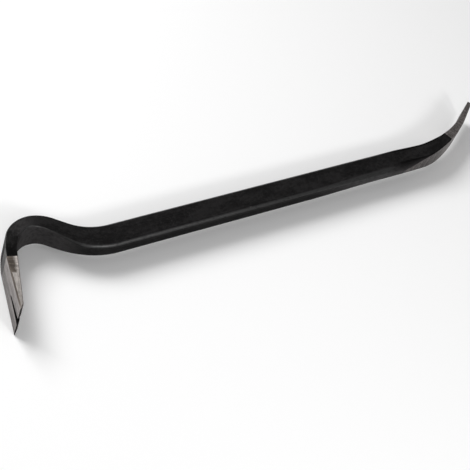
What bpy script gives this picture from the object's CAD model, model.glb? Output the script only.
import math

import bmesh
import bpy
import numpy as np
from mathutils import Matrix, Vector, noise


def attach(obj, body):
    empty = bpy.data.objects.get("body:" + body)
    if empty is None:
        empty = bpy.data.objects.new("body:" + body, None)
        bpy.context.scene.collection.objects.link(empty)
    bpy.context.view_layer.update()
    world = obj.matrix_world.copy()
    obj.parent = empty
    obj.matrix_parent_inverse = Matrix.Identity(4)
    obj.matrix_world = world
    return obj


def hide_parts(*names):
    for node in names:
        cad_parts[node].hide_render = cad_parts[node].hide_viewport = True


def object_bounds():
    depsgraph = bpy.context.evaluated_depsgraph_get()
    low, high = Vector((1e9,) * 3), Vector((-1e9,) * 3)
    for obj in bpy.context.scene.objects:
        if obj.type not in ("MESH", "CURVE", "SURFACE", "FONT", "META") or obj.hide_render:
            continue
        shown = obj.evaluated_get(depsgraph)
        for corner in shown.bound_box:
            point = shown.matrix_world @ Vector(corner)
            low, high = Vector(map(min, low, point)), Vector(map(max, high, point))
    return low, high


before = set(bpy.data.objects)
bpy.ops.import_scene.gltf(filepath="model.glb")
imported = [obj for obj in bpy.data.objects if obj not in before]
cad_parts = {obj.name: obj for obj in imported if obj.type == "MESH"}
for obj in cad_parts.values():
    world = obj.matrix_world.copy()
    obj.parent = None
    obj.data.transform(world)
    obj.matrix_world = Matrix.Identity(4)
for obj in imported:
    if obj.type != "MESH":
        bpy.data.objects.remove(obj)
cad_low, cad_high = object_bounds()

MM = 0.001
TINY = 1e-6

# ---- The bar's shape, in millimetres and degrees, as the CAD model has it --------------------------

# The centre line from the claw's edge to the chisel's tip: name, length of a straight run, or radius
# and turn in degrees of a bent one, positive to the left.
RUNS = [
    ("blade", {"length": 58}),
    ("heel", {"radius": 77, "turn": -16.5}),
    ("crown", {"radius": 26.5, "turn": -99}),
    ("rise", {"length": 13}),
    ("crank", {"radius": 67, "turn": 41.2}),
    ("shank", {"length": 340}),
    ("lead", {"radius": 1140, "turn": 1.8}),
    ("bend", {"radius": 115, "turn": 12.6}),
    ("sweep", {"radius": 158, "turn": 21.1}),
    ("tip", {"length": 32.5}),
]
BENT_RUNS = ("heel", "crown", "crank")

# The cross-section: run, share of the run, depth in the bending plane, width across it, corner radius.
SECTIONS = [
    ("blade", 0, 3.2, 39, 0.3),
    ("blade", 1, 10, 31.4, 0.8),
    ("crown", 0.23, 12.5, 29, 1.3),
    ("crown", 0.5, 12.1, 28.8, 1.3),
    ("crown", 0.77, 14, 25.3, 1.4),
    ("rise", 1, 17.4, 21.5, 2.0),
    ("crank", 0.5, 24.4, 15.5, 3.4),
    ("shank", 0, 26, 15.5, 3.9),
    ("shank", 1, 26, 15.5, 3.9),
    ("lead", 1, 18.9, 18.8, 2.4),
    ("bend", 1, 13.7, 23.9, 1.2),
    ("sweep", 0.5, 9.1, 23.9, 1.0),
    ("sweep", 1, 6.6, 23.9, 0.8),
    ("tip", 1, 4.4, 22, 0.5),
]

# Near the shank's end the two corners of the inner side roll over in a wide round, until the chisel's
# ground face cuts them off. The places are distances from the shank's end. Past it the CAD model's
# corners lie up to 0.6 mm off these, because its roll ends sooner and its ground corners are rounder.
ROLL_ROUND = 7
ROLL_START, ROLL_FULL = -125, -22
ROLL_FADE, ROLL_END = 2, 60

# The most of a section's depth or width that one corner radius takes up.
ROUND_LIMIT = 0.45

# The chisel's tip: the radius of its two corners seen from the face, and of its two edges.
TIP_CORNER = 3.5
TIP_EDGE = 2.0

# The claw's edge: how far back its bevel reaches, and the flat that the bevel leaves.
EDGE_BEVEL_LENGTH = 5.6
EDGE_LAND = 0.6

# The nail slot tapers from its mouth to its round root, and its lips open out at the edge.
SLOT_LENGTH = 28
SLOT_MOUTH = 7.6
SLOT_ROOT_RADIUS = 1.2
LIP_LENGTH = 1.8
LIP_SLOPE = 0.6

# The raised bars on the shank: how far along it the first one starts, and their sizes.
MARK_START = 48
MARK_HEIGHT = 0.4
MARK_DEPTH = 6.5
MARK_LENGTHS = (9, 3, 9, 3, 9)
MARK_GAP = 1.8

# Where the finish changes, measured along the centre line from the claw's edge. Grinding reaches
# further up the claw's outer face, and further along the chisel's convex face, than round the sides.
# On the convex face it runs out so gradually that CHISEL_FEATHER mm there count as one.
CLAW_PAINT = 58
CLAW_FACE_PAINT = 67
CHISEL_PAINT = 604
CHISEL_FACE_PAINT = 531
CHISEL_FEATHER = 9

# Grinding leaves these corner radii, on the claw at most a share of its depth. They fade into the forged
# ones over GRIND_FADE, and on the chisel's convex side over CHISEL_CORNER_FADE. SKIN_DEPTH is how thick
# a ground piece is where one face of it runs on over the coated piece.
CLAW_ROUND = 0.8
CLAW_ROUND_SHARE = 0.3
CHISEL_ROUND = 0.35
GRIND_FADE = 5
CHISEL_CORNER_FADE = 46
SKIN_DEPTH = 0.5

# How fine the surface is: steps round each corner, across each face in ring order, down the slot, round
# half of the slot's root, and round the tip's corners. The raised bars have soft edges with no other
# stations within MARK_MARGIN. RIM_WIDTH is how far from a corner the attribute rim reaches.
CORNER_STEPS = 6
FACE_STEPS = (26, 14, 26, 14)
WALL_SHARES = (0.03, 0.35, 0.65, 0.97)
ROOT_STEPS = 6
TIP_STEPS = 8
MARK_SOFTNESS = 0.35
MARK_MARGIN = 1
SAME_STATION = 1e-4
RIM_WIDTH = 2.0

# Shares of the three kinds of face, as the materials read them.
OUTER = Vector((1, 0, 0))
SIDE = Vector((0, 1, 0))
INNER = Vector((0, 0, 1))
WALL = Vector((0, 0, 0))

# Forging leaves the coated surface slightly uneven: size of the unevenness and its depth. It fades in
# over DENT_FADE from the edge of the coating. NOISE_SHIFT says which part of the noise is used. Edges
# bent by more than SHARP_ANGLE are shaded as sharp.
FORGE_WAVES = ((34.0, 0.10), (11.0, 0.04), (4.0, 0.012))
NOISE_SHIFT = (7.3, 2.1)
DENT_FADE = 7
SHARP_ANGLE = 19

# ---- Looks -----------------------------------------------------------------------------------------

# Levels are shares of light given back, and tints are their red, green and blue parts.
COAT_TINT = (1.05, 1.0, 1.015)
COAT_DARK = 0.0048
COAT_LIGHT = 0.013
COAT_PALE = 0.044
COAT_WORN = 0.03
RIDGE_LEVEL = 0.062
STEEL_TINT = (1.10, 1.0, 0.97)
WARM_TINT = (1.08, 1.0, 0.94)
BROWN_TINT = (1.18, 1.0, 0.86)
CLAW_OUTER = 0.245
CLAW_SIDE = 0.38
CLAW_UPPER = 0.47
CLAW_BROWNED = 0.085
CLAW_HEEL = 0.025
CLAW_CREASE = 0.085
CLAW_WALL = 0.012
CLAW_EDGE = 0.012
CHISEL_FACE = 0.115
CHISEL_SIDE = 0.215
CHIP_STEEL = 0.22

# Gloss, and the coating's thickness in mm.
COAT_SPECULAR = 0.05
COAT_FACE_ROUGH = 0.58
COAT_CORNER_ROUGH = 0.33
COAT_THICKNESS = 0.06
RIDGE_METAL = 0.9
STEEL_ROUGH = (0.48, 0.34)
STAIN_ROUGH = 0.1
CREASE_ROUGH = 0.62
EDGE_ROUGH = 0.9

# Noise patterns: features in each mm along the bar and across it, then detail and roughness.
CLOUD = (0.03, 0.09, 3.0, 0.5)
MOTTLE = (0.22, 0.34, 3.0, 0.6)
SPECKLE = (0.9, 1.2, 3.0, 0.7)
FORGE_SCALE = (0.16, 0.2, 3.0, 0.5)
RUBS = (0.035, 2.6, 1.0, 0.5)
NICKS = (1.7, 0.25, 1.0, 0.5)
WEAR = (0.12, 0.8, 4.0, 0.5)
STAIN = (0.12, 0.2, 4.0, 0.6)
PITS = (1.1, 1.1, 2.0, 0.5)
GOUGES = (0.07, 1.5, 1.0, 0.5)
CLAW_WAVER = (0.3, 0.5, 2.0, 0.5)
CHISEL_MOTTLE = (0.35, 0.5, 3.0, 0.6)
RAGGED = (0.9, 0.9, 4.0, 0.65)
CHIPS = (0.5, 1.3, 3.0, 0.5)

# Grinding streaks, coarse to fine, that run along the bar and across it, and the share of each.
STREAKS_ALONG = ((0.010, 0.35, 2.0, 0.5), (0.025, 1.0, 2.0, 0.7), (0.08, 3.4, 2.0, 0.7))
STREAKS_ACROSS = ((0.3, 0.02, 2.0, 0.5), (0.8, 0.05, 2.0, 0.7), (3.0, 0.12, 2.0, 0.7))
STREAK_SHARES = (0.3, 0.4, 0.3)

# Ramps over a pattern: the two levels between which it comes in, then, where they aren't 0 and 1, the
# values that it comes in from and to.
TONE_RAMP = (0.42, 0.58)
SPECKLE_RAMP = (0.56, 0.72, 0.0, 0.35)
DUST_RAMP = (0.3, 0.6, 0.55, 1.0)
WEAR_RAMP = (0.52, 0.72, 0.0, 0.5)
RUBS_RAMP = (0.66, 0.74)
NICKS_RAMP = (0.72, 0.78)
RIDGE_RAMP = (0.3, 0.5, 0.6, 1.0)
CHIPS_RAMP = (0.74, 0.76)
PITS_RAMP = (0.68, 0.74)
GOUGES_RAMP = (0.68, 0.74)
STAIN_RAMP = (0.35, 0.65, 0.84, 1.12)
GRAIN_RAMP = (0.40, 0.60)
CHISEL_RAMP = (0.35, 0.65, 0.76, 1.24)

# Ramps over how near a corner a point is: over the attribute rim, then over the shares of its faces.
WORN_RIM = (0.35, 1.0)
SOOTY_RIM = (0.3, 1.0)
ROUGH_RIM = (0.1, 0.9)
CHIPPED_RIM = (0.7, 1.0)
CREASE_RIM = (0.6, 0.95)
RIDGE_CORNER = (0.4, 0.95)
CREASE_CORNER = (0.0, 0.7)

# The faces' shares add up to 1 on the skin and to 0 on the slot's walls. The walls' look goes out here.
WALL_OUT = (0.0, 0.6)

# Stretches of the bar, in mm along it, over which a look comes in or goes out. Two more values are those
# that it comes in from and to.
EDGE_OUT = (0.0, 0.4)
CREASE_IN = (1.5, 7.0, 0.6, 1.0)
BEVEL_OUT = (4.6, 5.2)
BROWN_IN = (38.5, 40.5)
HEEL_IN = (57.3, 58.5)
SCORCHED_OUT = (65, 74)
DUSTY_IN, DUSTY_OUT = (78, 94), (97, 122)
CRANK_IN, CRANK_OUT = (124, 138), (152, 160)
SHADED_IN, SHADED_OUT = (150, 200), (400, 450)
RUBBED_IN = (400, 490)
RIDGE_OUT = (500, 522)
SOOTY_IN = (510, 534)
BRIGHT_IN, BRIGHT_OUT = (570, 612), (625, 648)
TIP_IN = (632, 648)

# The same toward the bar's outer side, and across the bar.
CREASE_DEPTH = (-0.5, 0.5)
BROWNED_DEPTH = (-3.6, 0.2)
OUTER_ACROSS = (-14, 12, 0.62, 0.98)

# In mm: how far the ends of looks waver along the bar and, on the claw, through it, how ragged and how
# soft the edge of the coating is, and how much further the dust reaches on the inner face.
COAT_WAVER = 18.0
CLAW_WAVER_ALONG = 2.0
CLAW_WAVER_THROUGH = 4.0
RAGGED_WIDTH = 1.4
PAINT_SOFTNESS = 0.08
DUSTY_INNER_REACH = 40

# How strongly each look shows, as shares. CHISEL_SIDE_ALONG is the share of lengthwise streaks.
DUST_ON_SIDES = 0.55
MARKS_STRENGTH = 0.25
SCORCHED_STRENGTH = 0.75
SOOTY_STRENGTH = 0.8
SHADED_STRENGTH = 0.35
CRANK_STRENGTH = 0.6
PIT_STRENGTH = 0.5
GOUGE_STRENGTH = 0.3
CHISEL_BRIGHT = 0.7
CHISEL_TIP = 0.5
CHISEL_SIDE_ALONG = 0.35
CLAW_CONTRAST = 0.34
CHISEL_CONTRAST = 0.3
CHIP_CONTRAST = 0.25

# Weights of the coating's patterns: cloud, mottle and speckle in its tone, cloud, speckle and rubs in
# its roughness, and mottle, forge scale, speckle and nicks in its height, in mm.
TONE_WEIGHTS = (0.35, 0.35, 0.3)
COAT_ROUGH_WEIGHTS = (0.16, 0.1, -0.08)
COAT_HEIGHTS = (0.06, 0.12, 0.025, -0.015)

# Heights of the steel's marks, in mm: its streaks on each piece, its pits and its gouges.
CLAW_STREAK_HEIGHT = 0.022
CHISEL_STREAK_HEIGHT = 0.03
CHIP_STREAK_HEIGHT = 0.02
PIT_HEIGHT = -0.02
GOUGE_HEIGHT = -0.012

# The camera stands and aims in metres, with its roll in degrees, and its lens and sensor in mm.
CAMERA_PLACE = Vector((-0.64225, -0.53596, 0.84976))
CAMERA_AIM = Vector((-0.06445, -0.02774, 0.0195))
CAMERA_ROLL = 24.09
CAMERA_LENS = 91.155
CAMERA_SENSOR = 36

# The floor's width and how far it lies below the bar, in metres, and its looks. Then the sky's light.
FLOOR_SIZE = 12.0
FLOOR_GAP = 0.0004
FLOOR_LEVEL = 0.95
FLOOR_ROUGH = 0.9
WORLD_LEVEL = 0.28

# Each lamp: name, the point it is aimed at, the direction it stands in from there, how far off in m,
# its sides in m, and its radiance.
LAMPS = [
    ("key", (0, 0, 0.02), (-0.35, 0.62, 0.70), 2.2, (1.1, 1.1), 10.0),
    ("claw_light", (-0.3, -0.026, 0.0195), (0.335, 0.478, 0.812), 1.0, (0.35, 0.35), 0.6),
    ("front_left", (-0.22, 0, 0.0195), (-0.42, -0.61, 0.67), 1.3, (0.2, 0.2), 8.0),
    ("front", (-0.16, 0, 0.0195), (0.08, -0.80, 0.59), 1.3, (0.2, 0.2), 30.0),
    ("front_right", (-0.16, 0, 0.0195), (0.43, -0.72, 0.55), 1.3, (0.2, 0.2), 9.0),
]


# ---- Centre line -----------------------------------------------------------------------------------

def lay_out_runs():
    """Each run with its start: distance, x, y and heading. Also the whole length."""
    turns = {name: run.get("turn", 0) for name, run in RUNS}
    heading = -math.radians(sum(turns[name] for name in BENT_RUNS))
    walked = x = y = 0.0
    laid = []
    for name, run in RUNS:
        turn = math.radians(run.get("turn", 0))
        length = run.get("length") or run["radius"] * abs(turn)
        laid.append({"name": name, "from": walked, "length": length, "bend": turn / length,
                     "x": x, "y": y, "heading": heading})
        x, y, heading = step_along(x, y, heading, turn / length, length)
        walked += length
    return laid, walked


def step_along(x, y, heading, bend, distance):
    """The point and heading after walking a distance on a line or an arc."""
    turn = bend * distance
    chord = distance if turn == 0 else 2 * math.sin(turn / 2) / bend
    chord_heading = heading + turn / 2
    return x + chord * math.cos(chord_heading), y + chord * math.sin(chord_heading), heading + turn


LAID, TOTAL = lay_out_runs()
STARTS = {run["name"]: run["from"] for run in LAID}
ENDS = {run["name"]: run["from"] + run["length"] for run in LAID}


def centre_at(distance):
    """The centre line's point and heading at a distance along it."""
    run = [r for r in LAID if r["from"] <= distance + TINY][-1]
    return step_along(run["x"], run["y"], run["heading"], run["bend"], distance - run["from"])


# ---- Cross-sections --------------------------------------------------------------------------------

def monotone_curve(at, values):
    """A smooth curve through the values that never overshoots them."""
    slopes = [(b - a) / (t - s) for a, b, s, t in zip(values, values[1:], at, at[1:])]
    tangents = [slopes[0]]
    for before, after in zip(slopes, slopes[1:]):
        tangents.append(0 if before * after <= 0 else 2 * before * after / (before + after))
    tangents.append(slopes[-1])

    def value(distance):
        i = 0
        while i < len(at) - 2 and distance > at[i + 1]:
            i += 1
        span = at[i + 1] - at[i]
        t = (distance - at[i]) / span
        u = 1 - t
        ends = values[i] * u * u * (1 + 2 * t) + values[i + 1] * t * t * (3 - 2 * t)
        return ends + span * (tangents[i] * t * u * u - tangents[i + 1] * t * t * u)

    return value


def blade_then_smooth(column):
    """A column of SECTIONS as a function of distance: straight along the blade, smooth after it."""
    at = [STARTS[row[0]] + row[1] * (ENDS[row[0]] - STARTS[row[0]]) for row in SECTIONS]
    values = [row[column] for row in SECTIONS]
    smooth = monotone_curve(at[1:], values[1:])
    rate = (values[1] - values[0]) / (at[1] - at[0])
    return lambda distance: values[0] + rate * distance if distance < at[1] else smooth(distance)


depth_at = blade_then_smooth(2)
width_at = blade_then_smooth(3)
round_at = blade_then_smooth(4)


def smooth_step(low, high, value):
    t = min(max((value - low) / (high - low), 0.0), 1.0)
    return t * t * (3 - 2 * t)


def end_rounding(radius, back):
    """How much a rounded end of this radius takes off, at a distance back from the end."""
    return 0 if back >= radius else radius - math.sqrt(radius * radius - (radius - back) ** 2)


def slot_half_width(distance):
    """Half the nail slot's width, which is 0 behind its root."""
    root = SLOT_LENGTH - SLOT_ROOT_RADIUS
    if distance >= SLOT_LENGTH:
        return 0.0
    if distance > root:
        return math.sqrt(SLOT_ROOT_RADIUS ** 2 - (distance - root) ** 2)
    if distance > LIP_LENGTH:
        share = (distance - LIP_LENGTH) / (root - LIP_LENGTH)
        return SLOT_MOUTH / 2 + share * (SLOT_ROOT_RADIUS - SLOT_MOUTH / 2)
    return SLOT_MOUTH / 2 + LIP_SLOPE * (LIP_LENGTH - distance)


def inner_limit(distance):
    """The blade's inner face, cut back by the bevel that makes the edge."""
    inner = -depth_at(distance) / 2
    if distance >= EDGE_BEVEL_LENGTH:
        return inner
    land = depth_at(0) / 2 - EDGE_LAND
    end = -depth_at(EDGE_BEVEL_LENGTH) / 2
    return land + (end - land) * distance / EDGE_BEVEL_LENGTH


def fractions(steps):
    """The shares between 0 and 1 at which a length is cut into this many steps."""
    return [i / steps for i in range(1, steps)]


def inner_round_at(distance):
    """The corner radius at the inner side, with the roll near the shank's end."""
    place = distance - ENDS["shank"]
    rolled = smooth_step(ROLL_START, ROLL_FULL, place) * (1 - smooth_step(ROLL_FADE, ROLL_END, place))
    return round_at(distance) + (ROLL_ROUND - round_at(distance)) * rolled


def corner_rounds(distance, limit):
    """Corner radius at the outer and at the inner face, up to a limit. Grinding leaves crisper corners
    than forging."""
    outer_claw = 1 - smooth_step(CLAW_FACE_PAINT, CLAW_FACE_PAINT + GRIND_FADE, distance)
    inner_claw = 1 - smooth_step(CLAW_PAINT, CLAW_PAINT + GRIND_FADE, distance)
    outer_chisel = smooth_step(CHISEL_PAINT - GRIND_FADE, CHISEL_PAINT, distance)
    inner_chisel = smooth_step(CHISEL_FACE_PAINT, CHISEL_FACE_PAINT + CHISEL_CORNER_FADE, distance)
    outer = min(round_at(distance), limit)
    inner = min(inner_round_at(distance), limit)
    claw = min(CLAW_ROUND, CLAW_ROUND_SHARE * depth_at(distance))
    chisel = min(CHISEL_ROUND, outer)
    outer += (claw - outer) * outer_claw + (chisel - outer) * outer_chisel
    inner += (claw - inner) * inner_claw + (chisel - inner) * inner_chisel
    return min(outer, limit), min(inner, limit)


def ring_at(distance):
    """The section's outline, going round from the outer face's +Z corner: +Z side, inner face, -Z side,
    outer face. A point is (toward the outer side, across, how near a corner, share of each face)."""
    back = TOTAL - distance
    half_width = width_at(distance) / 2 - end_rounding(TIP_CORNER, back)
    take_off = end_rounding(TIP_EDGE, back)
    top = depth_at(distance) / 2 - take_off
    bottom = inner_limit(distance) + take_off
    outer_round, inner_round = corner_rounds(distance, ROUND_LIMIT * min(top - bottom, 2 * half_width))
    corners = [
        (top - outer_round, half_width - outer_round, outer_round),
        (bottom + inner_round, half_width - inner_round, inner_round),
        (bottom + inner_round, inner_round - half_width, inner_round),
        (top - outer_round, outer_round - half_width, outer_round),
    ]
    faces = [SIDE, INNER, SIDE, OUTER]
    arcs = []
    for quarter, (n, z, radius) in enumerate(corners):
        arc = []
        for i in range(CORNER_STEPS + 1):
            share = i / CORNER_STEPS
            angle = math.radians(90 * (quarter + share))
            face = faces[quarter - 1].lerp(faces[quarter], share)
            arc.append((n + radius * math.cos(angle), z + radius * math.sin(angle), 1.0, face))
        arcs.append(arc)
    ring = []
    for quarter, arc in enumerate(arcs):
        ring += arc
        (n, z, _, _), (n_end, z_end, _, _) = arc[-1], arcs[(quarter + 1) % 4][0]
        length = math.hypot(n_end - n, z_end - z)
        for share in fractions(FACE_STEPS[quarter]):
            near = max(0.0, 1 - min(share, 1 - share) * length / RIM_WIDTH)
            ring.append((n + (n_end - n) * share, z + (z_end - z) * share, near, faces[quarter]))
    return ring


# Places in the ring: each corner's last point, and the middle of the inner and the outer face.
SIDE_PLUS = CORNER_STEPS
INNER_PLUS = SIDE_PLUS + FACE_STEPS[0] + CORNER_STEPS
INNER_MIDDLE = INNER_PLUS + FACE_STEPS[1] // 2
INNER_MINUS = INNER_PLUS + FACE_STEPS[1]
OUTER_MINUS = INNER_MINUS + CORNER_STEPS + FACE_STEPS[2] + CORNER_STEPS
OUTER_MIDDLE = OUTER_MINUS + FACE_STEPS[3] // 2
AROUND = OUTER_MINUS + FACE_STEPS[3]


# ---- Stations --------------------------------------------------------------------------------------

def mark_edges():
    """Where each raised bar starts and ends, along the centre line."""
    edges = []
    place = STARTS["shank"] + MARK_START
    for length in MARK_LENGTHS:
        edges.append((place, place + length))
        place += length + MARK_GAP
    return edges


def lay_out_stations():
    """Distances along the centre line, closer together where the shape needs it. A knot is a place and
    the longest spacing from there to the next knot."""
    knots = [
        (0, 0.6), (LIP_LENGTH, 0.8), (EDGE_BEVEL_LENGTH, 1.6), (SLOT_LENGTH - SLOT_ROOT_RADIUS, 2),
        (SLOT_LENGTH, 2), (CLAW_PAINT, 0.9), (CLAW_FACE_PAINT, 1.2), (STARTS["rise"], 1.6),
        (STARTS["shank"], 2.4), (CHISEL_FACE_PAINT, 1.4), (CHISEL_PAINT, 1.6),
        (TOTAL - TIP_CORNER, 1),
    ]
    places = set()
    for (start, step), (end, _) in zip(knots, knots[1:]):
        count = math.ceil((end - start) / step)
        places.update(start + (end - start) * i / count for i in range(count + 1))
    for share in fractions(ROOT_STEPS):
        places.add(SLOT_LENGTH - SLOT_ROOT_RADIUS * (1 - math.sin(math.radians(90 * share))))
    for share in [*fractions(TIP_STEPS), 1]:
        places.add(TOTAL - TIP_CORNER * (1 - math.sin(math.radians(90 * share))))
    for start, end in mark_edges():
        places = {p for p in places if not start - MARK_MARGIN < p < end + MARK_MARGIN}
        places.update((start - MARK_SOFTNESS, start, start + MARK_SOFTNESS))
        places.update((end - MARK_SOFTNESS, end, end + MARK_SOFTNESS))
        places.add((start + end) / 2)
    ordered = sorted(places)
    return [a for a, b in zip(ordered, ordered[1:]) if b - a > SAME_STATION] + ordered[-1:]


STATIONS = lay_out_stations()


def station_of(distance):
    return min(range(len(STATIONS)), key=lambda j: abs(STATIONS[j] - distance))


# ---- The surface -----------------------------------------------------------------------------------

def mark_height(distance, n):
    """Height of the raised bars above the +Z side, with soft edges."""
    height = 0.0
    for start, end in mark_edges():
        inside = min(distance - start, end - distance, MARK_DEPTH / 2 - abs(n))
        height = max(height, MARK_HEIGHT * smooth_step(-MARK_SOFTNESS, MARK_SOFTNESS, inside))
    return height


def is_outer(place):
    return place >= OUTER_MINUS or place == 0


def is_inner(place):
    return INNER_PLUS <= place <= INNER_MINUS


def coat_distance(distance, n, z, place):
    """How far a point is from the edge of the coating, in mm: positive on the coating.
    The edge on the chisel's convex face counts for less, because grinding runs out there gradually."""
    half_depth = depth_at(distance) / 2
    to_side = width_at(distance) / 2 - abs(z)
    past_claw = distance - CLAW_PAINT
    past_claw_face = distance - CLAW_FACE_PAINT
    before_chisel = CHISEL_PAINT - distance
    before_chisel_face = (CHISEL_FACE_PAINT - distance) / CHISEL_FEATHER
    if is_outer(place):
        claw = past_claw_face if past_claw < 0 or past_claw_face > 0 else max(past_claw_face, -to_side)
    else:
        claw = min(past_claw, math.hypot(max(past_claw_face, 0), half_depth - n))
    if is_inner(place):
        ground = before_chisel < 0 or before_chisel_face > 0
        chisel = before_chisel_face if ground else max(before_chisel_face, -to_side)
    else:
        chisel = min(before_chisel, math.hypot(max(before_chisel_face, 0), half_depth + n))
    return min(claw, chisel)


def forge_dent(point):
    """How deep the forged surface lies below its true shape at a point, in mm."""
    depth = 0.0
    for size, amount in FORGE_WAVES:
        depth += amount * (1 + noise.noise(point / size + Vector((size, *NOISE_SHIFT)))) / 2
    return depth


class Surface:
    """Every point of the bar's skin, made once and shared by the pieces, with what the materials read:
    bar is (distance along, toward the outer side, across) in mm, as if the bar were straight, face is
    the share of each kind of face, coat the distance to the edge of the coating, rim how near a corner."""

    def __init__(self):
        self.points = []
        self.bar = []
        self.face = []
        self.coat = []
        self.rim = []

    def add(self, place, face, coat, rim, moved=(0.0, 0.0)):
        distance, n, z = place
        x, y, heading = centre_at(distance)
        n_moved = n + moved[0]
        point = (x - n_moved * math.sin(heading), y + n_moved * math.cos(heading), z + moved[1])
        self.points.append(Vector(point))
        self.bar.append(place)
        self.face.append(tuple(face))
        self.coat.append(coat)
        self.rim.append(rim)
        return len(self.points) - 1


surface = Surface()


def ring_normals(ring):
    """Each ring point's outward direction in the section's plane."""
    normals = []
    for i in range(AROUND):
        before, after = ring[i - 1], ring[(i + 1) % AROUND]
        normals.append(Vector((after[1] - before[1], before[0] - after[0])).normalized())
    return normals


def unevenness(distance, n, z, place, normal, coat):
    """How far a skin point moves from its true place: forging dents, and the raised bars."""
    dent = smooth_step(0, DENT_FADE, coat) * forge_dent(Vector((distance, n, z)))
    raised = mark_height(distance, n) if SIDE_PLUS < place < SIDE_PLUS + FACE_STEPS[0] else 0.0
    return -dent * normal.x, raised - dent * normal.y


def build_ring(distance):
    """One station's ring of vertices, as (+Z half, -Z half) pairs. They differ only at the middle of the
    outer and the inner face, where the slot splits the blade."""
    ring = ring_at(distance)
    normals = ring_normals(ring)
    half_slot = slot_half_width(distance)
    row = []
    for place, (n, z, rim, face) in enumerate(ring):
        coat = coat_distance(distance, n, z, place)
        if half_slot > 0 and place in (INNER_MIDDLE, OUTER_MIDDLE):
            row.append(tuple(
                surface.add((distance, n, side * half_slot), face, coat, 1.0) for side in (1, -1)
            ))
            continue
        if half_slot > 0 and (is_outer(place) or is_inner(place)):
            edge = abs(ring[0 if is_outer(place) else INNER_PLUS][1])
            z = math.copysign(half_slot + abs(z) / edge * (edge - half_slot), z)
        moved = unevenness(distance, n, z, place, normals[place], coat)
        vertex = surface.add((distance, n, z), face, coat, rim, moved)
        row.append((vertex, vertex))
    return row


RINGS = [build_ring(distance) for distance in STATIONS]


def build_slot_walls():
    """Columns of points down both walls of the slot, for each station that it passes. At the root the
    two walls meet in one column."""
    walls = []
    for distance, ring in zip(STATIONS, RINGS):
        if distance > SLOT_LENGTH + TINY:
            break
        half_slot = slot_half_width(distance)
        pair = []
        for side, sign in ((0, 1), (1, -1)):
            outer, inner = ring[OUTER_MIDDLE][side], ring[INNER_MIDDLE][side]
            if half_slot == 0 and side == 1:
                pair.append(pair[0])
                continue
            top, bottom = surface.bar[outer][1], surface.bar[inner][1]
            column = [outer]
            for share in WALL_SHARES:
                place = (distance, top + (bottom - top) * share, sign * half_slot)
                column.append(surface.add(place, WALL, -CLAW_PAINT, 0.0))
            pair.append([*column, inner])
        walls.append(pair)
    return walls


WALLS = build_slot_walls()


def skin_faces(first, last, places):
    """Quads of the skin from station first to station last, over the given places in the ring."""
    faces = []
    for here, ahead in zip(RINGS[first:last], RINGS[first + 1:last + 1]):
        for place in places:
            half = 1 if INNER_MIDDLE <= place < OUTER_MIDDLE else 0
            after = (place + 1) % AROUND
            faces.append([here[place][half], here[after][half], ahead[after][half], ahead[place][half]])
    return faces


def wall_faces():
    faces = []
    for here, ahead in zip(WALLS, WALLS[1:]):
        for near, far in zip(here, ahead):
            for k in range(len(near) - 1):
                faces.append([near[k], near[k + 1], far[k + 1], far[k]])
    return faces


def edge_caps():
    """The narrow flat face at the claw's edge, one for each prong."""
    ring = RINGS[0]
    plus = [ring[place % AROUND][0] for place in range(OUTER_MIDDLE, AROUND + INNER_MIDDLE + 1)]
    minus = [ring[place][1] for place in range(INNER_MIDDLE, OUTER_MIDDLE + 1)]
    return [plus + WALLS[0][0][-2:0:-1], minus + WALLS[0][1][1:-1]]


# ---- Where two finishes meet -----------------------------------------------------------------------

def shared_wall(whole, tongue, places):
    """The hidden faces between two pieces. The section at station whole is closed flat. From there to
    station tongue, one face of the ground piece runs on over the coated one as a thin wedge, whose
    underside reaches the skin at the tongue's end and along both corners. places is that face."""
    step = 1 if tongue > whole else -1
    span = STATIONS[tongue] - STATIONS[whole]
    floor = []
    for station in range(whole, tongue + step, step):
        row = []
        for k, place in enumerate(places):
            vertex = RINGS[station][place][0]
            distance, n, z = surface.bar[vertex]
            middle_share = 1 - (2 * k / (len(places) - 1) - 1) ** 2
            depth = SKIN_DEPTH * middle_share * (STATIONS[tongue] - distance) / span
            if depth > 0:
                vertex = surface.add((distance, n - math.copysign(depth, n), z), WALL, 0.0, 0.0)
            row.append(vertex)
        floor.append(row)
    faces = []
    for here, ahead in zip(floor, floor[1:]):
        for k in range(len(places) - 1):
            faces.append([here[k], here[k + 1], ahead[k + 1], ahead[k]])
    rest = range(places[-1], places[-1] + AROUND - len(places) + 2)
    faces.append([RINGS[whole][place % AROUND][0] for place in rest] + floor[0][1:-1])
    return faces


ALL_PLACES = range(AROUND)
OUTER_FACE = [*range(OUTER_MINUS, AROUND), 0]
INNER_FACE = [*range(INNER_PLUS, INNER_MINUS + 1)]
ALL_BUT_OUTER = range(OUTER_MINUS)
ALL_BUT_INNER = [*range(INNER_PLUS), *range(INNER_MINUS, AROUND)]

claw_end = station_of(CLAW_PAINT)
claw_face_end = station_of(CLAW_FACE_PAINT)
chisel_face_end = station_of(CHISEL_FACE_PAINT)
chisel_end = station_of(CHISEL_PAINT)
tip_end = len(STATIONS) - 1

claw_wall = shared_wall(claw_end, claw_face_end, OUTER_FACE)
chisel_wall = shared_wall(chisel_end, chisel_face_end, INNER_FACE)

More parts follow.
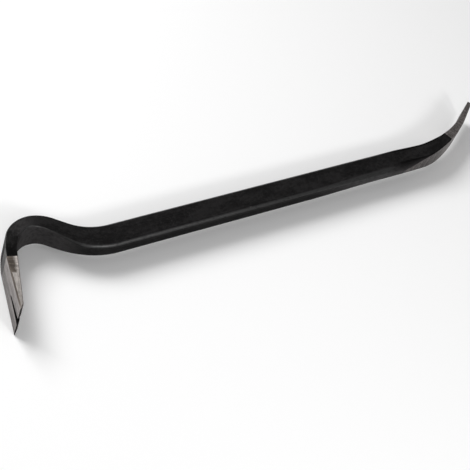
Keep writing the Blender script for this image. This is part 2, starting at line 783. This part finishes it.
CLAW_SKIN = (
    skin_faces(0, claw_end, ALL_PLACES)
    + skin_faces(claw_end, claw_face_end, OUTER_FACE[:-1])
    + wall_faces()
    + edge_caps()
    + claw_wall
)
COATED_SKIN = (
    skin_faces(claw_end, claw_face_end, ALL_BUT_OUTER)
    + skin_faces(claw_face_end, chisel_face_end, ALL_PLACES)
    + skin_faces(chisel_face_end, chisel_end, ALL_BUT_INNER)
    + claw_wall
    + chisel_wall
)
CHISEL_SKIN = (
    skin_faces(chisel_end, tip_end, ALL_PLACES)
    + skin_faces(chisel_face_end, chisel_end, INNER_FACE[:-1])
    + chisel_wall
    + [[RINGS[tip_end][place][0] for place in ALL_PLACES]]
)


# ---- Placing it in the frame -----------------------------------------------------------------------

def into_frame():
    """The move from the walked centre line to the row frame: the box is centred on the CAD model's."""
    skin = [surface.points[v] for row in RINGS for pair in row for v in pair]
    middle = Vector([(min(p[a] for p in skin) + max(p[a] for p in skin)) / 2 for a in range(2)] + [0.0])
    target = (cad_low + cad_high) / 2
    return Matrix.Translation(target) @ Matrix.Scale(MM, 4) @ Matrix.Translation(-middle)


TO_FRAME = into_frame()


def make_piece(name, faces, material):
    """A closed mesh of the given faces, with the attributes that its material reads."""
    used = sorted({vertex for face in faces for vertex in face})
    number = {vertex: k for k, vertex in enumerate(used)}
    mesh = bpy.data.meshes.new(name)
    points = [TO_FRAME @ surface.points[vertex] for vertex in used]
    mesh.from_pydata(points, [], [[number[vertex] for vertex in face] for face in faces])
    attributes = (
        ("bar", "FLOAT_VECTOR", "vector", surface.bar),
        ("face", "FLOAT_VECTOR", "vector", surface.face),
        ("coat", "FLOAT", "value", surface.coat),
        ("rim", "FLOAT", "value", surface.rim),
    )
    for title, kind, channel, values in attributes:
        attribute = mesh.attributes.new(title, kind, "POINT")
        chosen = np.array([values[vertex] for vertex in used], np.float32)
        attribute.data.foreach_set(channel, chosen.ravel())
    shape = bmesh.new()
    shape.from_mesh(mesh)
    bmesh.ops.recalc_face_normals(shape, faces=shape.faces)
    shape.to_mesh(mesh)
    shape.free()
    mesh.shade_smooth()
    mesh.set_sharp_from_angle(angle=math.radians(SHARP_ANGLE))
    mesh.materials.append(material)
    piece = bpy.data.objects.new(name, mesh)
    bpy.context.scene.collection.objects.link(piece)
    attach(piece, "root")
    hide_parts("forged_bar")
    return piece


# ---- Materials -------------------------------------------------------------------------------------

class Nodes:
    """A short way to write a node material."""

    def __init__(self, name):
        self.material = bpy.data.materials.new(name)
        self.material.use_nodes = True
        self.tree = self.material.node_tree
        self.tree.nodes.clear()

    def add(self, kind, inputs=(), **settings):
        node = self.tree.nodes.new(kind)
        for key, value in settings.items():
            setattr(node, key, value)
        for socket, value in dict(inputs).items():
            self.feed(node.inputs[socket], value)
        return node

    def feed(self, socket, value):
        if isinstance(value, bpy.types.NodeSocket):
            self.tree.links.new(value, socket)
        else:
            socket.default_value = value

    def attribute(self, name, output="Fac"):
        node = self.add("ShaderNodeAttribute", attribute_name=name, attribute_type="GEOMETRY")
        return node.outputs[output]

    def split(self, vector):
        return self.add("ShaderNodeSeparateXYZ", {"Vector": vector}).outputs

    def math(self, operation, *values):
        return self.add("ShaderNodeMath", enumerate(values), operation=operation).outputs[0]

    def times(self, *values):
        product = values[0]
        for value in values[1:]:
            product = self.math("MULTIPLY", product, value)
        return product

    def plus(self, *values):
        total = values[0]
        for value in values[1:]:
            total = self.math("ADD", total, value)
        return total

    def weighted(self, values, weights):
        """The sum of values, each times its own weight."""
        return self.plus(*(self.times(value, weight) for value, weight in zip(values, weights)))

    def inverse(self, value):
        return self.math("SUBTRACT", 1.0, value)

    def less(self, share, strength):
        """1, less the strength of a look where it shows by share."""
        return self.inverse(self.times(share, strength))

    def noise(self, bar, along, across, detail, roughness):
        """Noise with its own number of features in each mm along the bar and across it."""
        per_mm = (along, across, across)
        scaled = self.add("ShaderNodeVectorMath", {0: bar, 1: per_mm}, operation="MULTIPLY").outputs[0]
        inputs = {"Vector": scaled, "Scale": 1.0, "Detail": detail, "Roughness": roughness}
        return self.add("ShaderNodeTexNoise", inputs).outputs["Fac"]

    def centred(self, value):
        """Noise that varies about 0 instead of a half."""
        return self.plus(value, -0.5)

    def ramp(self, value, low, high, low_to=0.0, high_to=1.0):
        inputs = {"Value": value, "From Min": low, "From Max": high, "To Min": low_to, "To Max": high_to}
        return self.add("ShaderNodeMapRange", inputs, interpolation_type="SMOOTHSTEP").outputs["Result"]

    def fade(self, value, low, high):
        """1 up to low, and 0 from high on."""
        return self.ramp(value, low, high, 1.0, 0.0)

    def corner(self, face_share, next_share):
        """How near the middle of the corner between two faces, from their shares: 1 at half of each."""
        return self.times(face_share, next_share, 4.0)

    def mix(self, share, a, b):
        """Two colours, or two numbers, mixed by share."""
        colours = isinstance(a, tuple) or getattr(a, "type", "") in ("RGBA", "VECTOR")
        node = self.add("ShaderNodeMix", data_type="RGBA" if colours else "FLOAT")
        sockets = [s for s in node.inputs if s.enabled]
        for socket, value in zip(sockets, (share, a, b)):
            self.feed(socket, value)
        return next(s for s in node.outputs if s.enabled)

    def dim(self, colour, amount):
        """A colour times a number."""
        colour = colour[:3] if isinstance(colour, tuple) else colour
        node = self.add("ShaderNodeVectorMath", {0: colour, "Scale": amount}, operation="SCALE")
        return node.outputs[0]

    def bump(self, height_mm):
        return self.add("ShaderNodeBump", {"Height": height_mm, "Distance": MM}).outputs["Normal"]

    def finish(self, **inputs):
        shader = self.add("ShaderNodeBsdfPrincipled")
        for name, value in inputs.items():
            self.feed(shader.inputs[name.replace("_", " ")], value)
        output = self.add("ShaderNodeOutputMaterial")
        self.tree.links.new(shader.outputs["BSDF"], output.inputs["Surface"])
        return self.material


def tinted(level, tint=(1.0, 1.0, 1.0)):
    return (*(level * part for part in tint), 1.0)


def dusty_share(n, wavering, inner):
    """Dust on the crown, which reaches further along the inner face, and the part of the inner face that
    is rubbed pale before the chisel."""
    reach = n.math("SUBTRACT", wavering, n.times(inner, DUSTY_INNER_REACH))
    crown = n.times(
        n.ramp(wavering, *DUSTY_IN),
        n.fade(reach, *DUSTY_OUT),
        n.mix(inner, DUST_ON_SIDES, 1.0),
    )
    rubbed = n.times(inner, n.ramp(wavering, *RUBBED_IN))
    return n.math("MAXIMUM", crown, rubbed)


def light_left(n, distance, wavering, inner, rim):
    """The light left where the claw's heat scorched the coating, in the sooty corners beside the chisel's
    ground face, and on the inner face of the shank."""
    scorched = n.fade(wavering, *SCORCHED_OUT)
    sooty = n.times(n.ramp(distance, *SOOTY_IN), n.ramp(rim, *SOOTY_RIM), n.inverse(inner))
    shaded = n.times(inner, n.ramp(distance, *SHADED_IN), n.fade(distance, *SHADED_OUT))
    return n.times(
        n.less(scorched, SCORCHED_STRENGTH),
        n.less(sooty, SOOTY_STRENGTH),
        n.less(shaded, SHADED_STRENGTH),
    )


def ridge_share(n, distance, face, mottle):
    """The burnished line along each corner, duller in the crank and gone before the chisel."""
    outer, side, inner = n.split(face)
    corner = n.ramp(n.corner(side, n.plus(outer, inner)), *RIDGE_CORNER)
    crank = n.times(n.ramp(distance, *CRANK_IN), n.fade(distance, *CRANK_OUT))
    patchy = n.ramp(mottle, *RIDGE_RAMP)
    return n.times(corner, patchy, n.fade(distance, *RIDGE_OUT), n.less(crank, CRANK_STRENGTH))


def coating(n, bar, face, rim):
    """The black lacquer over the forged skin: colour, roughness, share of metal, height in mm. It is
    blacker where the claw's heat reached it, dusty on the crown, and burnished along the corners."""
    distance = n.split(bar)[0]
    inner = n.split(face)[2]
    cloud = n.noise(bar, *CLOUD)
    mottle = n.noise(bar, *MOTTLE)
    speckle = n.noise(bar, *SPECKLE)
    rubs = n.ramp(n.noise(bar, *RUBS), *RUBS_RAMP)
    nicks = n.ramp(n.noise(bar, *NICKS), *NICKS_RAMP)
    worn = n.times(n.ramp(rim, *WORN_RIM), n.ramp(n.noise(bar, *WEAR), *WEAR_RAMP))
    wavering = n.plus(distance, n.times(n.centred(mottle), COAT_WAVER))
    dust = n.times(dusty_share(n, wavering, inner), n.ramp(mottle, *DUST_RAMP))
    pale = n.math("MINIMUM", n.plus(n.ramp(speckle, *SPECKLE_RAMP), dust), 1.0)
    tone = n.ramp(n.weighted((cloud, mottle, speckle), TONE_WEIGHTS), *TONE_RAMP)
    colour = n.mix(tone, tinted(COAT_DARK, COAT_TINT), tinted(COAT_LIGHT, COAT_TINT))
    colour = n.mix(pale, colour, tinted(COAT_PALE, COAT_TINT))
    colour = n.mix(worn, colour, tinted(COAT_WORN, COAT_TINT))
    marks = n.times(n.math("MAXIMUM", rubs, nicks), MARKS_STRENGTH)
    colour = n.mix(marks, colour, tinted(COAT_WORN, COAT_TINT))
    colour = n.dim(colour, light_left(n, distance, wavering, inner, rim))
    ridge = ridge_share(n, distance, face, mottle)
    colour = n.mix(ridge, colour, tinted(RIDGE_LEVEL))
    rough = n.plus(
        n.ramp(rim, *ROUGH_RIM, COAT_FACE_ROUGH, COAT_CORNER_ROUGH),
        n.weighted((n.centred(cloud), n.centred(speckle), rubs), COAT_ROUGH_WEIGHTS),
    )
    height = n.weighted((mottle, n.noise(bar, *FORGE_SCALE), speckle, nicks), COAT_HEIGHTS)
    return colour, rough, n.times(ridge, RIDGE_METAL), height


def streaks(n, bar, along):
    """Grinding streaks from 0 to 1, coarse and fine together. along is 1 where they run lengthwise and
    0 where they run across."""
    lengthwise = n.weighted([n.noise(bar, *streak) for streak in STREAKS_ALONG], STREAK_SHARES)
    across = n.weighted([n.noise(bar, *streak) for streak in STREAKS_ACROSS], STREAK_SHARES)
    return n.mix(along, across, lengthwise)


def bare_steel(n, bar, colour, grain, contrast, streak_height):
    """Ground steel of a colour, with streaks, stains, pits and gouges: colour, roughness, height in mm.
    contrast is how far the streaks lighten and darken it."""
    stain = n.noise(bar, *STAIN)
    pits = n.ramp(n.noise(bar, *PITS), *PITS_RAMP)
    gouges = n.ramp(n.noise(bar, *GOUGES), *GOUGES_RAMP)
    level = n.times(
        n.ramp(grain, *GRAIN_RAMP, 1 - contrast, 1 + contrast),
        n.ramp(stain, *STAIN_RAMP),
        n.less(pits, PIT_STRENGTH),
        n.less(gouges, GOUGE_STRENGTH),
    )
    rough = n.plus(n.ramp(grain, *GRAIN_RAMP, *STEEL_ROUGH), n.times(stain, STAIN_ROUGH))
    height = n.weighted((grain, pits, gouges), (streak_height, PIT_HEIGHT, GOUGE_HEIGHT))
    return n.dim(colour, level), rough, height


def claw_crease(n, bar, face, rim):
    """The dark line along both corners of the claw's outer face, weaker toward the edge."""
    distance, toward_outer, _ = n.split(bar)
    outer, side, _ = n.split(face)
    beside = n.times(side, n.ramp(toward_outer, *CREASE_DEPTH), n.ramp(rim, *CREASE_RIM))
    corner = n.ramp(n.corner(outer, side), *CREASE_CORNER)
    return n.times(n.math("MAXIMUM", corner, beside), n.ramp(distance, *CREASE_IN))


def claw_steel(n, bar, face, rim):
    """The claw. Its outer face is ground lengthwise up to the heel, and is darker beyond. The sides are
    ground across, and browned toward their outer corner near the coating. The slot is black inside."""
    distance, toward_outer, across = n.split(bar)
    outer, side, inner = n.split(face)
    waver = n.centred(n.noise(bar, *CLAW_WAVER))
    wavering = n.plus(distance, n.times(waver, CLAW_WAVER_ALONG))
    depth = n.plus(toward_outer, n.times(waver, CLAW_WAVER_THROUGH))
    wall = n.fade(n.plus(outer, side, inner), *WALL_OUT)
    upper = n.times(side, n.ramp(wavering, *BROWN_IN))
    browned = n.times(upper, n.ramp(depth, *BROWNED_DEPTH))
    heel = n.times(outer, n.ramp(wavering, *HEEL_IN))
    crease = claw_crease(n, bar, face, rim)
    bevel = n.times(n.inverse(outer), inner, n.fade(wavering, *BEVEL_OUT))
    edge = n.math("MAXIMUM", bevel, n.fade(distance, *EDGE_OUT))
    colour = n.dim(tinted(CLAW_OUTER, STEEL_TINT), n.ramp(across, *OUTER_ACROSS))
    colour = n.mix(side, colour, tinted(CLAW_SIDE, WARM_TINT))
    colour = n.mix(upper, colour, tinted(CLAW_UPPER, WARM_TINT))
    colour = n.mix(browned, colour, tinted(CLAW_BROWNED, BROWN_TINT))
    colour = n.mix(heel, colour, tinted(CLAW_HEEL, STEEL_TINT))
    colour = n.mix(crease, colour, tinted(CLAW_CREASE, BROWN_TINT))
    colour = n.mix(edge, colour, tinted(CLAW_EDGE, BROWN_TINT))
    colour = n.mix(wall, colour, tinted(CLAW_WALL))
    grain = streaks(n, bar, n.inverse(upper))
    colour, rough, height = bare_steel(n, bar, colour, grain, CLAW_CONTRAST, CLAW_STREAK_HEIGHT)
    dull = n.mix(edge, CREASE_ROUGH, EDGE_ROUGH)
    return colour, n.mix(n.math("MAXIMUM", edge, crease), rough, dull), height


def chisel_steel(n, bar, face, rim):
    """The chisel, ground across with a coarse belt to a dark satin: brighter mid-way, darker at the tip."""
    distance = n.split(bar)[0]
    side = n.split(face)[1]
    bright = n.times(n.ramp(distance, *BRIGHT_IN), n.fade(distance, *BRIGHT_OUT), CHISEL_BRIGHT)
    tip = n.ramp(distance, *TIP_IN, 1.0, CHISEL_TIP)
    colour = n.dim(tinted(CHISEL_FACE, STEEL_TINT), n.times(tip, n.plus(1.0, bright)))
    colour = n.mix(side, colour, tinted(CHISEL_SIDE, STEEL_TINT))
    colour = n.dim(colour, n.ramp(n.noise(bar, *CHISEL_MOTTLE), *CHISEL_RAMP))
    grain = streaks(n, bar, n.times(side, CHISEL_SIDE_ALONG))
    return bare_steel(n, bar, colour, grain, CHISEL_CONTRAST, CHISEL_STREAK_HEIGHT)


def plain_steel(n, bar, face, rim):
    """Steel that shows through chips in the coating, as dark as the chisel's where it runs into it."""
    near_chisel = n.ramp(n.split(bar)[0], *RUBBED_IN)
    colour = n.mix(near_chisel, tinted(CHIP_STEEL, STEEL_TINT), tinted(CHISEL_FACE, STEEL_TINT))
    return bare_steel(n, bar, colour, streaks(n, bar, 1.0), CHIP_CONTRAST, CHIP_STREAK_HEIGHT)


def two_finishes(name, steel):
    """A material with the coating where the bar is coated and bare steel beyond its slightly ragged edge,
    so that neighbouring pieces agree along their seam. steel is one of the three functions above."""
    n = Nodes(name)
    bar = n.attribute("bar", "Vector")
    face = n.attribute("face", "Vector")
    rim = n.attribute("rim")
    ragged = n.times(n.centred(n.noise(bar, *RAGGED)), RAGGED_WIDTH)
    painted = n.ramp(n.plus(n.attribute("coat"), ragged), -PAINT_SOFTNESS, PAINT_SOFTNESS)
    chips = n.times(n.ramp(rim, *CHIPPED_RIM), n.ramp(n.noise(bar, *CHIPS), *CHIPS_RAMP))
    painted = n.times(painted, n.inverse(chips))
    coat_colour, coat_rough, coat_metal, coat_height = coating(n, bar, face, rim)
    steel_colour, steel_rough, steel_height = steel(n, bar, face, rim)
    height = n.mix(painted, steel_height, n.plus(coat_height, COAT_THICKNESS))
    return n.finish(
        Base_Color=n.mix(painted, steel_colour, coat_colour),
        Roughness=n.mix(painted, steel_rough, coat_rough),
        Metallic=n.mix(painted, 1.0, coat_metal),
        Specular_IOR_Level=COAT_SPECULAR,
        Normal=n.bump(height),
    )


make_piece("ground_claw", CLAW_SKIN, two_finishes("claw_steel", claw_steel))
make_piece("coated_bar", COATED_SKIN, two_finishes("black_coating", plain_steel))
make_piece("ground_chisel", CHISEL_SKIN, two_finishes("chisel_steel", chisel_steel))


# ---- Studio ----------------------------------------------------------------------------------------

def make_camera():
    data = bpy.data.cameras.new("camera")
    data.lens = CAMERA_LENS
    data.sensor_width = CAMERA_SENSOR
    camera = bpy.data.objects.new("camera", data)
    bpy.context.scene.collection.objects.link(camera)
    aimed = (CAMERA_AIM - CAMERA_PLACE).to_track_quat("-Z", "Y").to_matrix().to_4x4()
    roll = Matrix.Rotation(math.radians(CAMERA_ROLL), 4, "Z")
    camera.matrix_world = Matrix.Translation(CAMERA_PLACE) @ aimed @ roll
    bpy.context.scene.camera = camera


def make_floor():
    mesh = bpy.data.meshes.new("floor")
    half = FLOOR_SIZE / 2
    corners = [(-half, -half, 0), (half, -half, 0), (half, half, 0), (-half, half, 0)]
    mesh.from_pydata(corners, [], [[0, 1, 2, 3]])
    mesh.materials.append(Nodes("floor").finish(Base_Color=tinted(FLOOR_LEVEL), Roughness=FLOOR_ROUGH))
    floor = bpy.data.objects.new("floor", mesh)
    floor.location.z = cad_low.z - FLOOR_GAP
    bpy.context.scene.collection.objects.link(floor)


def make_light(name, aim, toward, distance, size, radiance):
    """A soft rectangular lamp that stands in a direction from the point it is aimed at."""
    data = bpy.data.lights.new(name, "AREA")
    data.shape = "RECTANGLE"
    data.size, data.size_y = size
    data.energy = radiance * math.pi * size[0] * size[1]
    lamp = bpy.data.objects.new(name, data)
    direction = Vector(toward).normalized()
    lamp.location = Vector(aim) + direction * distance
    lamp.rotation_mode = "QUATERNION"
    lamp.rotation_quaternion = (-direction).to_track_quat("-Z", "Y")
    bpy.context.scene.collection.objects.link(lamp)


def make_world(level):
    world = bpy.data.worlds.new("studio")
    bpy.context.scene.world = world
    world.use_nodes = True
    background = world.node_tree.nodes["Background"]
    background.inputs["Color"].default_value = tinted(1.0)
    background.inputs["Strength"].default_value = level


make_camera()
make_floor()
make_world(WORLD_LEVEL)
for lamp_name, *settings in LAMPS:
    make_light(lamp_name, *settings)
bpy.context.scene.view_settings.view_transform = "Standard"
